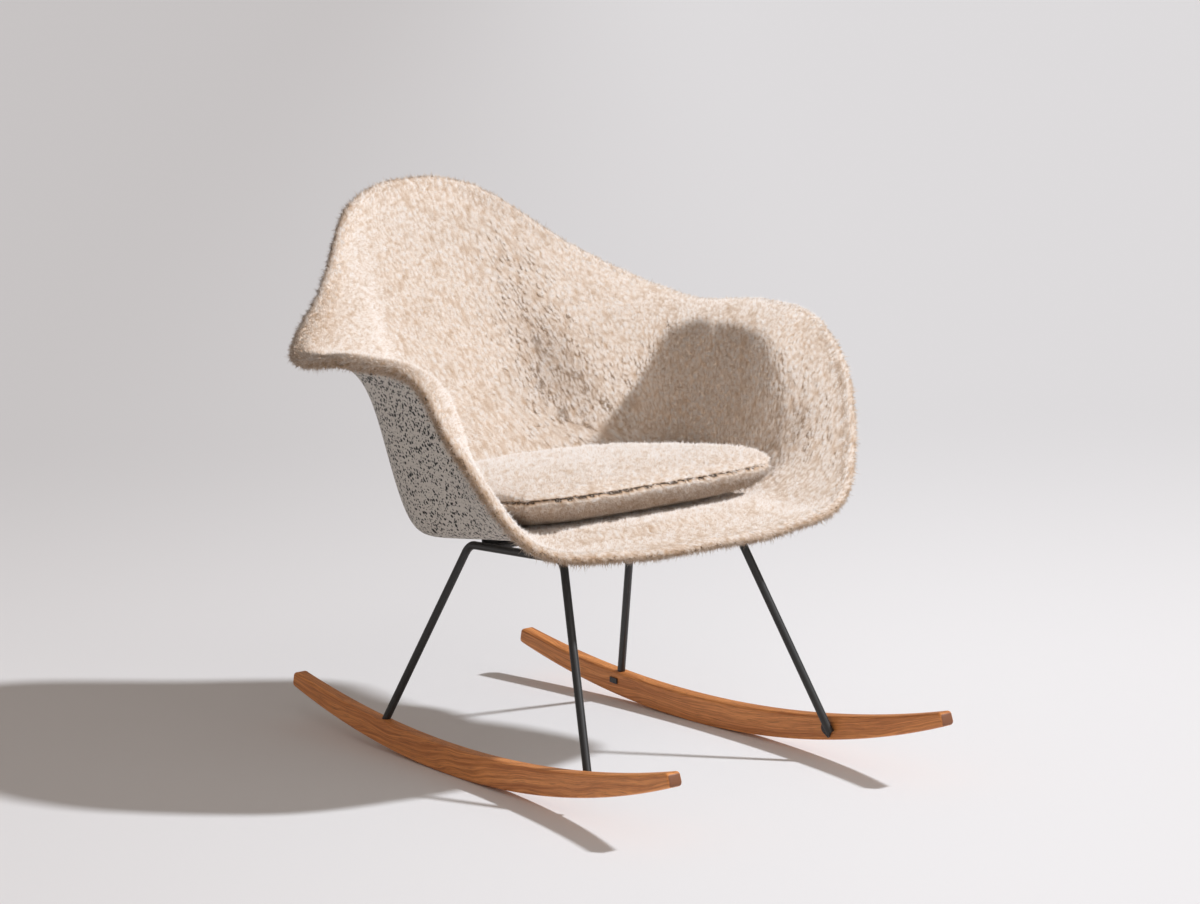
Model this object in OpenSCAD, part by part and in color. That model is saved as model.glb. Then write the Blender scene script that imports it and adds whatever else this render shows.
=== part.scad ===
// Upholstered rocking chair: a moulded armchair shell with a fuzzy cover,
// on four rubber mounts, two bent steel side rods and two wooden rockers.
// Millimetres, +Z up, the sitter faces -Y and the sitter's left is +X.

/* [Shell] */
// Width over the rolled arm edges
shell_w = 626; // [580:2:680]
// Depth from the back's top edge to the front edge
shell_d = 637; // [600:1:680]
// How far the back's top edge stands behind the seat datum
back_y = 290; // [270:1:310]
// Height of the back's top edge before the chair leans
back_h = 662; // [620:1:720]
// Height of the arm edges before the chair leans
arm_h = 517; // [490:1:540]
// Height of the front edge before the chair leans
front_h = 315; // [300:1:325]
// Wall of the moulded shell
shell_t = 4; // [3:0.1:5]
// Foam glued to the shell
foam_t = 5; // [3:0.1:7]
// Woven backing of the cover
cover_t = 3; // [2:0.1:4]
// How far the padded edge roll stands past the shell's edge
roll_d = 7; // [5:0.1:10]

/* [Seat pan] */
// Height of the pan's middle layer at the seat datum
pan_h = 287; // [284:0.5:292]
// The datum's place along the chair
pan_y = -30; // [-40:1:-20]
// Slope of the pan, front up
pan_slope = 10; // [8:0.5:12]
// Half width of the flat pan
pan_side = 186; // [176:1:194]
// Reach of the pan to the front
pan_front = 262; // [250:1:270]
// Reach of the pan to the back
pan_back = 150; // [140:1:160]

/* [Cushion] */
// Greatest half width of the cushion
cushion_side = 214; // [190:1:220]
// Reach of the cushion to the front of the datum
cushion_front = 240; // [220:1:250]
// Reach of the cushion to the back of the datum
cushion_back = 168; // [140:1:180]
// Height of the seam over the pan
seam_h = 38; // [30:1:44]
// Height of the crown over the pan
crown_h = 70; // [60:1:85]
// Cloth of the cushion's two panels
panel_t = 2; // [1.5:0.1:3]
// How far the sides are drawn in between the corners
draw_in = 5; // [0:0.5:10]

/* [Side rods] */
// Diameter of the side rods
rod_d = 10; // [8:0.5:12]
// Inner bend radius of the side rods, at the rod's axis
rod_bend_r = 20; // [16:1:26]
// Half spacing of the rails at the rear bend
rail_rear_x = 123; // [118:1:128]
// Half spacing of the rails at the front bend
rail_front_x = 128; // [123:1:134]
// Rear bend along the chair
rail_rear_y = -17.5; // [-22:0.5:-10]
// Front bend along the chair
rail_front_y = -218; // [-226:1:-212]
// Height of the rear bend
rail_rear_z = 266; // [258:0.5:267]
// Height of the front bend
rail_front_z = 289; // [280:0.5:291]
// Diameter of the cross bars
bar_d = 8; // [6:0.5:9]

/* [Rockers] */
// Length along the floor before the chair leans
rocker_l = 824; // [760:2:880]
// Radius of the running edge
rocker_r = 1450; // [1200:10:1700]
// Thickness of the wood
rocker_t = 19; // [17:0.5:23]
// Depth at the middle
rocker_mid = 35; // [32:0.5:40]
// Depth at the ends
rocker_end = 19.5; // [16:0.5:24]
// Middle of the rockers along the chair
rocker_y = -120; // [-130:1:-110]
// Half spacing of the rockers at their middle
rocker_x = 188; // [180:1:196]
// Toe-out of each rocker
rocker_toe = 1.6; // [0:0.1:2.5]
// Rounding of the long edges
rocker_round = 3.5; // [1:0.5:5]
// Rounding of the ends' corners
end_round = 5; // [2:0.5:7]
// Where the running edge is lowest before the chair leans
arc_y = 10; // [0:1:20]

/* [Feet] */
// Rear leg's foot along the chair, at the rocker's top
foot_rear_y = 83; // [76:1:90]
// Front leg's foot along the chair
foot_front_y = -339; // [-346:1:-332]
// Height of the front leg's lower end
foot_front_z = 53; // [50:0.5:58]
// Depth of the rear leg's bore
socket_l = 20; // [16:1:22]
// How far inboard of the wood's middle the rear leg enters
foot_rear_in = 2; // [1:0.5:2.5]
// Plate of the front foot's ear
ear_t = 3; // [2:0.5:4]
// Width of the ear
ear_w = 13; // [11:1:15]
// Shank of the ear's wood screw
foot_screw_d = 4; // [3:0.5:5]
// Length of the ear's wood screw in the wood
foot_screw_l = 12; // [8:1:15]
// Diameter of the rear leg's lock bolt
lock_d = 4; // [3:0.5:4.5]

/* [Mounts] */
// Diameter of the rubber shock mounts
mount_d = 38; // [30:1:40]
// Half spacing of the shock mounts
mount_x = 96; // [90:1:98]
// Rear pair along the chair
mount_rear_y = -36; // [-40:1:-30]
// Front pair along the chair
mount_front_y = -184; // [-188:1:-178]
// Thickness of the welded tabs
tab_t = 3; // [2:0.5:4]
// Width of the tabs under the mounts
tab_w = 32; // [28:1:36]
// Width of the tabs where they are welded to the rail
tab_neck = 13; // [10:0.5:14]
// Shank of the mount screws
screw_d = 6; // [5:0.5:7]
// Distance of each cross bar from its pair of mounts
bar_off = 26; // [24:1:30]

/* [Rest] */
// How far the chair leans forward about the running edge when it rests
rest_lean = 3.2; // [0:0.1:8]

/* [Hidden] */

fit = 0.1;         // gap of welded and glued faces
layer_gap = 0.3;   // gap between soft layers
roll_gap = 0.8;    // gap between the edge roll and the ends of the layers
cushion_gap = 0.6; // gap between the cushion and the cover under it
wall_gap = 5;      // gap between the cushion's seam and the cover beside it
tab_drop = 1;      // a tab's top lies this far under the rail's axis
bend_swell = 0.2;  // a bend is this much thicker than the rod
bend_lap = 1;      // how far a straight length runs into a bend
screw_play = 1;    // a screw's hole is this much wider than its shank
head_wide = 2;     // a screw head's widest and narrowest, in shanks
head_narrow = 1.5;
over = 2;          // how far a cut runs past the face that it opens
nut_d = 12;
nut_h = 6;
nut_down = 3;      // rubber over a nut
screw_head_h = 4;
lock_head = [7, 14, 2];
lock_share = 0.68; // place of the lock along the socket
lock_past = 6;     // how far the lock's shank passes the rod's axis
ear_off = 10.5;    // the ear's screw lies this far behind the rod's axis
ear_up = 8;        // and this far up from the rod's end

cream = [0.86, 0.80, 0.72];
speckled = [0.72, 0.70, 0.67];
black = [0.08, 0.08, 0.08];
oak = [0.78, 0.55, 0.33];
steel = [0.65, 0.65, 0.66];
foam_yellow = [0.93, 0.88, 0.66];

// Rim stations from the back's middle round the left arm to the front's middle.
// Share of the half width, share of the depth, and share of the height: of the
// back over the arm at the first three, and of the arm over the front after.
rim_out = [0, 0.31, 0.62, 0.96, 1, 0.96, 0.93, 0.74, 0.38, 0];
rim_fore = [0, 0.025, 0.155, 0.305, 0.515, 0.71, 0.825, 0.93, 0.98, 1];
rim_up = [1, 0.86, 0.32, 0.93, 1, 0.99, 0.65, 0.11, 0, 0];
// Width of the turned lip and its slope to the level, at the same stations.
lip_w = [150, 140, 112, 90, 78, 66, 62, 55, 50, 50];
lip_slope = [82, 78, 48, 3, 4, 12, 35, 22, 0, -8];
station_n = len(rim_out);
steps = 3;          // meridians from one station to the next
flat_share = 0.8;   // share of the pan that is flat
pan_sharp = [2.8, 2];        // how square the pan's oval is, front and back
cushion_sharp = [3.4, 2.6];  // the same of the cushion

stack_t = shell_t + foam_t + cover_t + 2 * layer_gap;
shell_low = -stack_t / 2;
shell_high = shell_low + shell_t;
foam_low = shell_high + layer_gap;
foam_high = foam_low + foam_t;
cover_low = foam_high + layer_gap;
cover_high = stack_t / 2;

pan_mid = [0, pan_y, pan_h];
pan_normal = [0, sin(pan_slope), cos(pan_slope)];

function unit(v) = v / norm(v);
function flip_x(p) = [for (i = [0:len(p) - 1]) i == 0 ? -p[i] : p[i]];
function pan_rise(y) = -tan(pan_slope) * (y - pan_y);
function pan_point(dir, r) = pan_mid + dir * r + [0, 0, pan_rise(pan_y + dir.y * r)];

// An oval with its own reach to the side, front and back.
function oval(dir, side, front, back, sharps) =
    let (far = dir.y < 0 ? front : back, sharp = dir.y < 0 ? sharps[0] : sharps[1])
    pow(pow(abs(dir.x) / side, sharp) + pow(abs(dir.y) / far, sharp), -1 / sharp);

// Station i: rim point, lip width and lip slope.
function rim_z(i) = i < 3 ? arm_h + rim_up[i] * (back_h - arm_h)
                          : front_h + rim_up[i] * (arm_h - front_h);
stations = [for (i = [0:station_n - 1])
    [rim_out[i] * shell_w / 2, back_y - rim_fore[i] * shell_d, rim_z(i), lip_w[i], lip_slope[i]]];
function station(i) = i < 0 ? flip_x(stations[-i])
    : i >= station_n ? flip_x(stations[2 * station_n - 2 - i]) : stations[i];
function between(a, b, c, d, u) = 0.5 * (2 * b + (c - a) * u
    + (2 * a - 5 * b + 4 * c - d) * u * u + (3 * b - a - 3 * c + d) * u * u * u);
half_rim = [for (i = [0:station_n - 2], s = [0:steps - 1])
    between(station(i - 1), station(i), station(i + 1), station(i + 2), s / steps)];
half_n = len(half_rim);
rim = concat(half_rim, [station(station_n - 1)],
    [for (k = [half_n - 1:-1:1]) flip_x(half_rim[k])]);
rim_n = len(rim);

// One meridian of the shell's middle layer, from the pan's middle to the rim.
function blend(c, i, u) =
    let (n = len(c), a = i == 0 ? 2 * c[0] - c[1] : c[i - 1],
         d = i + 2 < n ? c[i + 2] : 2 * c[n - 1] - c[n - 2])
    (pow(1 - u, 3) * a + (3 * u * u * u - 6 * u * u + 4) * c[i]
     + (3 * u * u - 3 * u * u * u + 3 * u + 1) * c[i + 1] + u * u * u * d) / 6;
function level_dir(p) = unit([p.x - pan_mid.x, p.y - pan_mid.y, 0]);
function lip_dir(r) = level_dir(r) * cos(r[4]) + [0, 0, sin(r[4])];
function controls(r) =
    let (p = [r[0], r[1], r[2]], dir = level_dir(r), out = lip_dir(r),
         pan_r = oval(dir, pan_side, pan_front, pan_back, pan_sharp),
         foot = pan_point(dir, pan_r), lip = p - out * r[3])
    [pan_mid, pan_point(dir, pan_r * flat_share), foot, (foot + lip) / 2, lip, p - out * roll_d];
rows_per_span = [1, 2, 3, 3, 2];
function meridian(r) =
    let (c = controls(r))
    concat([for (i = [0:4], u = [0:rows_per_span[i] - 1]) blend(c, i, u / rows_per_span[i])], [c[5]]);
middle = [for (r = rim) meridian(r)];
row_n = len(middle[0]);
function after(k) = (k + 1) % rim_n;
function before(k) = (k + rim_n - 1) % rim_n;
normals = [for (k = [0:rim_n - 1]) [for (j = [0:row_n - 1])
    j == 0 ? pan_normal
           : unit(cross(middle[after(k)][j] - middle[before(k)][j],
                        middle[k][min(j + 1, row_n - 1)] - middle[k][j - 1]))]];
function layer_point(k, j, off) = middle[k][j] + normals[k][j] * off;
function layer_rows(off) =
    [for (j = [1:row_n - 1]) [for (k = [0:rim_n - 1]) layer_point(k, j, off)]];

// A closed body between two dished sheets, each a middle point and its rings.
module dished(low_mid, low, high_mid, high) {
    rows = len(low);
    half = 1 + rows * rim_n;
    function at(j, k) = 1 + j * rim_n + k % rim_n;
    sheet = concat(
        [for (k = [0:rim_n - 1]) [0, at(0, k), at(0, k + 1)]],
        [for (j = [0:rows - 2], k = [0:rim_n - 1], t = [0, 1])
            t == 0 ? [at(j, k), at(j + 1, k), at(j + 1, k + 1)]
                   : [at(j, k), at(j + 1, k + 1), at(j, k + 1)]]);
    edge = [for (k = [0:rim_n - 1], t = [0, 1])
        t == 0 ? [at(rows - 1, k), at(rows - 1, k + 1), half + at(rows - 1, k + 1)]
               : [at(rows - 1, k), half + at(rows - 1, k + 1), half + at(rows - 1, k)]];
    polyhedron(
        points = concat([low_mid], [for (row = low) for (p = row) p],
                        [high_mid], [for (row = high) for (p = row) p]),
        faces = concat([for (f = sheet) [f[2], f[1], f[0]]],
                       [for (f = sheet) [f[0] + half, f[1] + half, f[2] + half]], edge));
}

module shell_layer(low, high) {
    dished(pan_mid + pan_normal * low, layer_rows(low),
           pan_mid + pan_normal * high, layer_rows(high));
}

// Padded roll along the rim, flat against the ends of the three layers.
roll_sides = 6;
module rim_roll() {
    section = [for (i = [0:roll_sides - 1]) -90 + 180 * i / (roll_sides - 1)];
    rings = [for (k = [0:rim_n - 1])
        let (mid = middle[k][row_n - 1], n = normals[k][row_n - 1],
             out = unit(mid - middle[k][row_n - 2]))
        [for (a = section) mid + out * (roll_gap + (roll_d - roll_gap) * cos(a))
                               + n * (stack_t / 2 * sin(a))]];
    polyhedron(
        points = [for (ring = rings) for (p = ring) p],
        faces = [for (k = [0:rim_n - 1], i = [0:roll_sides - 1], t = [0, 1])
            let (a = k * roll_sides + i, b = after(k) * roll_sides + i,
                 c = after(k) * roll_sides + (i + 1) % roll_sides,
                 d = k * roll_sides + (i + 1) % roll_sides)
            t == 0 ? [a, b, d] : [b, c, d]]);
}

// Cushion: its bottom follows the cover, its seam stays clear of the walls.
function cover_line(k) = [for (j = [0:row_n - 1])
    let (p = layer_point(k, j, cover_high)) [norm([p.x, p.y - pan_y]), p.z]];
cover_lines = [for (k = [0:rim_n - 1]) cover_line(k)];
directions = [for (k = [0:rim_n - 1]) level_dir(middle[k][row_n - 1])];
function reach_at(line, z, j = 0) = j + 1 >= len(line) ? 10 * cushion_front
    : line[j + 1][1] < z ? reach_at(line, z, j + 1)
    : line[j][0] + (line[j + 1][0] - line[j][0]) * (z - line[j][1]) / (line[j + 1][1] - line[j][1]);
function pan_top(k, r) = pan_h + cover_high / cos(pan_slope) + pan_rise(pan_y + directions[k].y * r);
function soft_least(a, b) = pow(pow(a, -10) + pow(b, -10), -0.1);
cushion_reach = [for (k = [0:rim_n - 1])
    let (d = directions[k],
         free = oval(d, cushion_side, cushion_front, cushion_back, cushion_sharp)
                - draw_in * abs(d.x * d.x - d.y * d.y),
         walls = reach_at(cover_lines[k], pan_top(k, free) + seam_h) - wall_gap)
    soft_least(free, walls)];
top_shares = [0.4, 0.72, 0.91, 1];
bottom_shares = [0.45, 0.78, 0.93, 1];
lift_to_seam = [0, 0, 0.3, 1];
function crown_share(u) = pow(1 - pow(u, 3), 0.6);
function top_height(u) = seam_h + (crown_h - seam_h) * crown_share(u);
function cushion_point(k, share, z, inset) =
    let (r = max(share * cushion_reach[k] - inset * share, 0))
    [directions[k].x * r, pan_y + directions[k].y * r, z];
function top_row(j, down, inset) = [for (k = [0:rim_n - 1])
    let (u = top_shares[j], r = u * cushion_reach[k])
    cushion_point(k, u, pan_top(k, r) + top_height(u) - down, inset)];
function bottom_row(j, up, inset) = [for (k = [0:rim_n - 1])
    let (u = bottom_shares[j], r = u * cushion_reach[k], lift = lift_to_seam[j],
         rest = lookup(r, cover_lines[k]) + cushion_gap,
         seam = pan_top(k, r) + seam_h)
    cushion_point(k, u, rest + (seam - layer_gap - rest) * lift + up * (1 - lift), inset)];
function top_mid(down) = [0, pan_y, pan_top(0, 0) + crown_h - down];
function bottom_mid(up) = [0, pan_y, pan_top(0, 0) + cushion_gap + up];
ring_ids = [0:len(top_shares) - 1];
core_ids = [1:len(top_shares) - 1];
core_inset = panel_t + layer_gap;
function top_inner(j) = panel_t * (1 - pow(top_shares[j], 8));

module cushion_top_panel() {
    dished(top_mid(panel_t), [for (j = ring_ids) top_row(j, top_inner(j), panel_t)],
           top_mid(0), [for (j = ring_ids) top_row(j, 0, 0)]);
}

module cushion_bottom_panel() {
    dished(bottom_mid(0), [for (j = ring_ids) bottom_row(j, 0, 0)],
           bottom_mid(panel_t), [for (j = ring_ids) bottom_row(j, panel_t, panel_t)]);
}

module cushion_filling() {
    dished(bottom_mid(core_inset), [for (j = core_ids) bottom_row(j, core_inset, core_inset * 2)],
           top_mid(core_inset), [for (j = core_ids) top_row(j, core_inset, core_inset * 2)]);
}

// Frame of a rocker: x from its middle plane, y from its middle, z from the floor.
function rocker_point(p) = [rocker_x + p.x * cos(rocker_toe) - p.y * sin(rocker_toe),
                            rocker_y + p.x * sin(rocker_toe) + p.y * cos(rocker_toe), p.z];
module rocker_frame() {
    translate([rocker_x, rocker_y, 0]) rotate([0, 0, rocker_toe]) children();
}

// The running edge and the top are two arcs; the top's comes from the depths.
run_mid_y = arc_y - rocker_y;
bow = (rocker_mid - rocker_end) / (rocker_l * rocker_l / 8);
top_r = 1 / (1 / rocker_r - bow);
top_mid_y = run_mid_y * top_r / rocker_r;
function run_z(y) = rocker_r - sqrt(rocker_r * rocker_r - (y - run_mid_y) * (y - run_mid_y));
top_low = rocker_mid + run_z(0) - (top_r - sqrt(top_r * top_r - top_mid_y * top_mid_y));
function top_z(y) = top_low + top_r - sqrt(top_r * top_r - (y - top_mid_y) * (y - top_mid_y));
front_angle = asin((-rocker_l / 2 - run_mid_y) / rocker_r);
rear_angle = asin((rocker_l / 2 - run_mid_y) / rocker_r);
arc_faces = 360;

// Section of a wooden bar, with its two long edges rounded at one side.
module bar_section(near, far, round_near) {
    w = rocker_t / 2;
    r = rocker_round;
    translate([near, r - w]) square([far - near, rocker_t - 2 * r]);
    translate([round_near ? near + r : near, -w]) square([far - near - r, rocker_t]);
    for (side = [-1, 1])
        translate([round_near ? near + r : far - r, side * (w - r)]) circle(r = r, $fn = 32);
}

// A full ring about the sitter's axis, at a place along the chair and a height.
module bar_ring(y, z, near, far, round_near) {
    translate([0, y, z]) rotate([0, 90, 0]) rotate_extrude($fn = arc_faces)
        bar_section(near, far, round_near);
}

ray_l = rocker_r * 1.2;
function ray(angle) = ray_l * [cos(angle), sin(angle)];
module across_bar(y, z) {
    translate([-rocker_t, y, z]) rotate([0, 90, 0]) linear_extrude(2 * rocker_t) children();
}

// Cuts a corner of an end to a round; it stands at the corner, the wood towards -x and -y.
module corner_cut() {
    translate([-end_round, -end_round]) difference() {
        square(end_round + over);
        circle(r = end_round, $fn = 32);
    }
}

module end_cuts() {
    translate([rocker_r, 0]) corner_cut();
    translate([rocker_r - rocker_end, 0]) mirror([1, 0]) corner_cut();
}

module rocker_bar() {
    depth = rocker_mid * 3;
    difference() {
        intersection() {
            bar_ring(run_mid_y, rocker_r, rocker_r - depth, rocker_r, false);
            bar_ring(top_mid_y, top_low + top_r, top_r, top_r + depth, true);
            across_bar(run_mid_y, rocker_r)
                polygon([[0, 0], ray(front_angle), ray(0), ray(rear_angle)]);
        }
        across_bar(run_mid_y, rocker_r) {
            rotate(rear_angle) end_cuts();
            rotate(front_angle) mirror([0, 1]) end_cuts();
        }
    }
}

// A cylinder from one point to another.
module rod(from, to, d) {
    v = to - from;
    translate(from) rotate([0, acos(v.z / norm(v)), atan2(v.y, v.x)])
        cylinder(d = d, h = norm(v), $fn = 32);
}

// A round rod along a path, with a bend of one radius at each inner corner.
function turn_at(p, i) = 180 - acos(unit(p[i - 1] - p[i]) * unit(p[i + 1] - p[i]));
function cut_at(p, i) = i == 0 || i == len(p) - 1 ? 0 : rod_bend_r * tan(turn_at(p, i) / 2);
module rod_bend(p, i) {
    to_last = unit(p[i - 1] - p[i]);
    to_next = unit(p[i + 1] - p[i]);
    centre = p[i] + unit(to_last + to_next) * rod_bend_r / cos(turn_at(p, i) / 2);
    start = unit(p[i] + to_last * cut_at(p, i) - centre);
    axis = unit(cross(to_next, to_last));
    side = cross(axis, start);
    multmatrix([[start.x, side.x, axis.x, centre.x], [start.y, side.y, axis.y, centre.y],
                [start.z, side.z, axis.z, centre.z], [0, 0, 0, 1]])
        rotate_extrude(angle = turn_at(p, i), $fn = 96) translate([rod_bend_r, 0])
            circle(d = rod_d + bend_swell, $fn = 32);
}
module bent_rod(p) {
    for (i = [0:len(p) - 2]) {
        dir = unit(p[i + 1] - p[i]);
        rod(p[i] + dir * (cut_at(p, i) - (i == 0 ? 0 : bend_lap)),
            p[i + 1] - dir * (cut_at(p, i + 1) - (i == len(p) - 2 ? 0 : bend_lap)), rod_d);
    }
    for (i = [1:len(p) - 2]) rod_bend(p, i);
}

// Side rod: rear leg, rail and front leg in one length.
leg_rear_top = [rail_rear_x, rail_rear_y, rail_rear_z];
leg_front_top = [rail_front_x, rail_front_y, rail_front_z];
foot_rear = rocker_point([-foot_rear_in, foot_rear_y - rocker_y, top_z(foot_rear_y - rocker_y)]);
rear_dir = unit(foot_rear - leg_rear_top);
rear_end = foot_rear + rear_dir * socket_l;
foot_front = rocker_point([-rocker_t / 2 - rod_d / 2 - fit, foot_front_y - rocker_y, foot_front_z]);
front_dir = unit(foot_front - leg_front_top);

// Lock of the rear leg: a bolt through wood and rod, with a plain oblong head.
lock_at = foot_rear + rear_dir * (socket_l * lock_share);
module lock_frame() {
    translate(lock_at) rotate([0, 0, rocker_toe]) rotate([0, -90, 0]) children();
}
lock_face = rocker_t / 2 - foot_rear_in
    + socket_l * lock_share * (rear_dir.x * cos(rocker_toe) + rear_dir.y * sin(rocker_toe));

module side_rod() {
    color(black) difference() {
        bent_rod([rear_end, leg_rear_top, leg_front_top, foot_front]);
        lock_frame() translate([0, 0, -lock_past])
            cylinder(d = lock_d + 2 * fit, h = lock_past * 2, $fn = 24);
    }
}

module leg_lock() {
    color(black) lock_frame() {
        translate([0, 0, -lock_past]) cylinder(d = lock_d, h = lock_past + lock_face + fit * 2, $fn = 24);
        translate([-lock_head.x / 2, -lock_head.y / 2, lock_face + fit]) cube(lock_head);
    }
}

// Ear of the front foot, in the rocker's own frame, with its wood screw.
ear_y = foot_front_y - rocker_y - front_dir.y * ear_up + unit([0, -front_dir.z, front_dir.y]).y * ear_off;
ear_z = foot_front_z - front_dir.z * ear_up + unit([0, -front_dir.z, front_dir.y]).z * ear_off;
ear_turn = atan2(front_dir.y, -front_dir.z);
module on_inner_face(y, z) {
    rocker_frame() translate([-rocker_t / 2, y, z]) rotate([0, -90, 0]) children();
}

module foot_ear() {
    color(black) difference() {
        on_inner_face(ear_y, ear_z) translate([0, 0, fit]) linear_extrude(ear_t) difference() {
            union() {
                circle(d = ear_w, $fn = 32);
                rotate(ear_turn) translate([-ear_w / 2, -ear_off]) square([ear_w, ear_off]);
            }
            circle(d = foot_screw_d + 2 * fit, $fn = 24);
        }
        rod(foot_front - front_dir * ear_w * 3, foot_front + front_dir * ear_w * 3, rod_d + 2 * fit);
    }
}

module foot_screw() {
    color(steel) on_inner_face(ear_y, ear_z) {
        translate([0, 0, -foot_screw_l])
            cylinder(d = foot_screw_d, h = foot_screw_l + ear_t + 3 * fit, $fn = 24);
        translate([0, 0, ear_t + 2 * fit])
            cylinder(d1 = foot_screw_d * head_wide, d2 = foot_screw_d * head_narrow,
                     h = foot_screw_d / 2, $fn = 24);
    }
}

module rocker() {
    color(oak) difference() {
        rocker_frame() rocker_bar();
        rod(foot_rear - rear_dir * socket_l, rear_end + rear_dir * fit, rod_d + 2 * fit);
        lock_frame() translate([0, 0, -lock_past - fit])
            cylinder(d = lock_d + 2 * fit, h = lock_past + lock_face + over, $fn = 24);
        on_inner_face(ear_y, ear_z) translate([0, 0, -foot_screw_l - fit])
            cylinder(d = foot_screw_d + 2 * fit, h = foot_screw_l + over, $fn = 24);
    }
}

// Mounts stand square to the pan, from the tab on the rail up to the shell.
function along_rail(y) = (y - rail_rear_y) / (rail_front_y - rail_rear_y);
function rail_at(y) = leg_rear_top + (leg_front_top - leg_rear_top) * along_rail(y);
function under_z(y) = pan_h + pan_rise(y) + shell_low / cos(pan_slope);
function tab_top(y) = (rail_at(y).z - under_z(y)) * cos(pan_slope) - tab_drop;
module mount_frame(y) {
    translate([mount_x, y, under_z(y)]) rotate([-pan_slope, 0, 0]) children();
}
module rail_space() {
    rod(leg_rear_top, leg_front_top, rod_d + 2 * fit);
}

module shock_mount(y) {
    color(black) mount_frame(y) difference() {
        translate([0, 0, tab_top(y) + fit])
            cylinder(d = mount_d, h = -tab_top(y) - 2 * fit, $fn = 48);
        translate([0, 0, -nut_down - nut_h - fit])
            cylinder(d = nut_d + 2 * fit, h = nut_h + 2 * fit, $fn = 32);
        translate([0, 0, tab_top(y) - over])
            cylinder(d = screw_d + screw_play, h = over - tab_top(y) - nut_down - nut_h, $fn = 32);
    }
}

module mount_nut(y) {
    color(steel) mount_frame(y) translate([0, 0, -nut_down - nut_h]) difference() {
        cylinder(d = nut_d, h = nut_h, $fn = 32);
        translate([0, 0, -over]) cylinder(d = screw_d + 2 * fit, h = nut_h + 2 * over, $fn = 32);
    }
}

module mount_tab(y) {
    color(black) difference() {
        mount_frame(y) translate([0, 0, tab_top(y) - tab_t]) difference() {
            linear_extrude(tab_t) {
                circle(d = tab_w, $fn = 48);
                translate([0, -tab_neck / 2]) square([rail_at(y).x - mount_x, tab_neck]);
            }
            translate([0, 0, -over])
                cylinder(d = screw_d + screw_play, h = tab_t + 2 * over, $fn = 32);
        }
        rail_space();
    }
}

module mount_screw(y) {
    color(black) mount_frame(y) translate([0, 0, tab_top(y) - tab_t - fit]) {
        translate([0, 0, -screw_head_h])
            cylinder(d1 = screw_d * head_narrow, d2 = screw_d * head_wide, h = screw_head_h, $fn = 32);
        cylinder(d = screw_d, h = -tab_top(y) + tab_t - nut_down, $fn = 32);
    }
}

module cross_bar(y) {
    color(black) difference() {
        rod([-rail_at(y).x, y, rail_at(y).z], rail_at(y), bar_d);
        rail_space();
        mirror([1, 0, 0]) rail_space();
    }
}

// The right side is the left one mirrored.
module side(is_left) {
    if (is_left) children();
    else mirror([1, 0, 0]) children();
}

// The chair leans about the running edge until it balances; y = 0 is midway
// between the rockers' tips and z = 0 is the floor.
mid_y = arc_y + rocker_r * (sin(rear_angle + rest_lean) + sin(front_angle + rest_lean)) / 2;
module at_rest() {
    translate([0, arc_y - mid_y, rocker_r]) rotate([rest_lean, 0, 0])
        translate([0, -arc_y, -rocker_r]) children();
}

module shell() { color(speckled) shell_layer(shell_low, shell_high); }
module shell_foam() { color(foam_yellow) shell_layer(foam_low, foam_high); }
module inner_cover() { color(cream) shell_layer(cover_low, cover_high); }
module edge_roll() { color(cream) rim_roll(); }
module both_sides() { for (is_left = [true, false]) side(is_left) children(); }
module mount_nuts() { both_sides() for (y = [mount_front_y, mount_rear_y]) mount_nut(y); }
module mount_screws() { both_sides() for (y = [mount_front_y, mount_rear_y]) mount_screw(y); }

at_rest() shell();
at_rest() shell_foam();
at_rest() inner_cover();
at_rest() edge_roll();
at_rest() side(true) shock_mount(mount_front_y);  // shock_mount_front_left
at_rest() side(false) shock_mount(mount_front_y);  // shock_mount_front_right
at_rest() side(true) shock_mount(mount_rear_y);  // shock_mount_rear_left
at_rest() side(false) shock_mount(mount_rear_y);  // shock_mount_rear_right
at_rest() mount_nuts();
at_rest() mount_screws();
at_rest() side(true) mount_tab(mount_front_y);  // mount_tab_front_left
at_rest() side(false) mount_tab(mount_front_y);  // mount_tab_front_right
at_rest() side(true) mount_tab(mount_rear_y);  // mount_tab_rear_left
at_rest() side(false) mount_tab(mount_rear_y);  // mount_tab_rear_right
at_rest() side(true) side_rod();  // side_rod_left
at_rest() side(false) side_rod();  // side_rod_right
at_rest() cross_bar(mount_front_y + bar_off);  // cross_bar_front
at_rest() cross_bar(mount_rear_y - bar_off);  // cross_bar_rear
at_rest() side(true) rocker();  // rocker_left
at_rest() side(false) rocker();  // rocker_right
at_rest() side(true) foot_ear();  // foot_ear_left
at_rest() side(false) foot_ear();  // foot_ear_right
at_rest() both_sides() foot_screw();  // foot_screws
at_rest() side(true) leg_lock();  // leg_lock_left
at_rest() side(false) leg_lock();  // leg_lock_right
at_rest() color(foam_yellow) cushion_filling();  // cushion_core
at_rest() color(cream) cushion_top_panel();  // cushion_top
at_rest() color(cream) cushion_bottom_panel();  // cushion_bottom
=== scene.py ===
# Upholstered rocking chair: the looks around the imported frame.
# Shapes are worked out in millimetres on the upright chair; toRow() leans them and gives metres.
import math

import bpy
import numpy as np
from mathutils import Matrix, Vector, kdtree, noise


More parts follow.
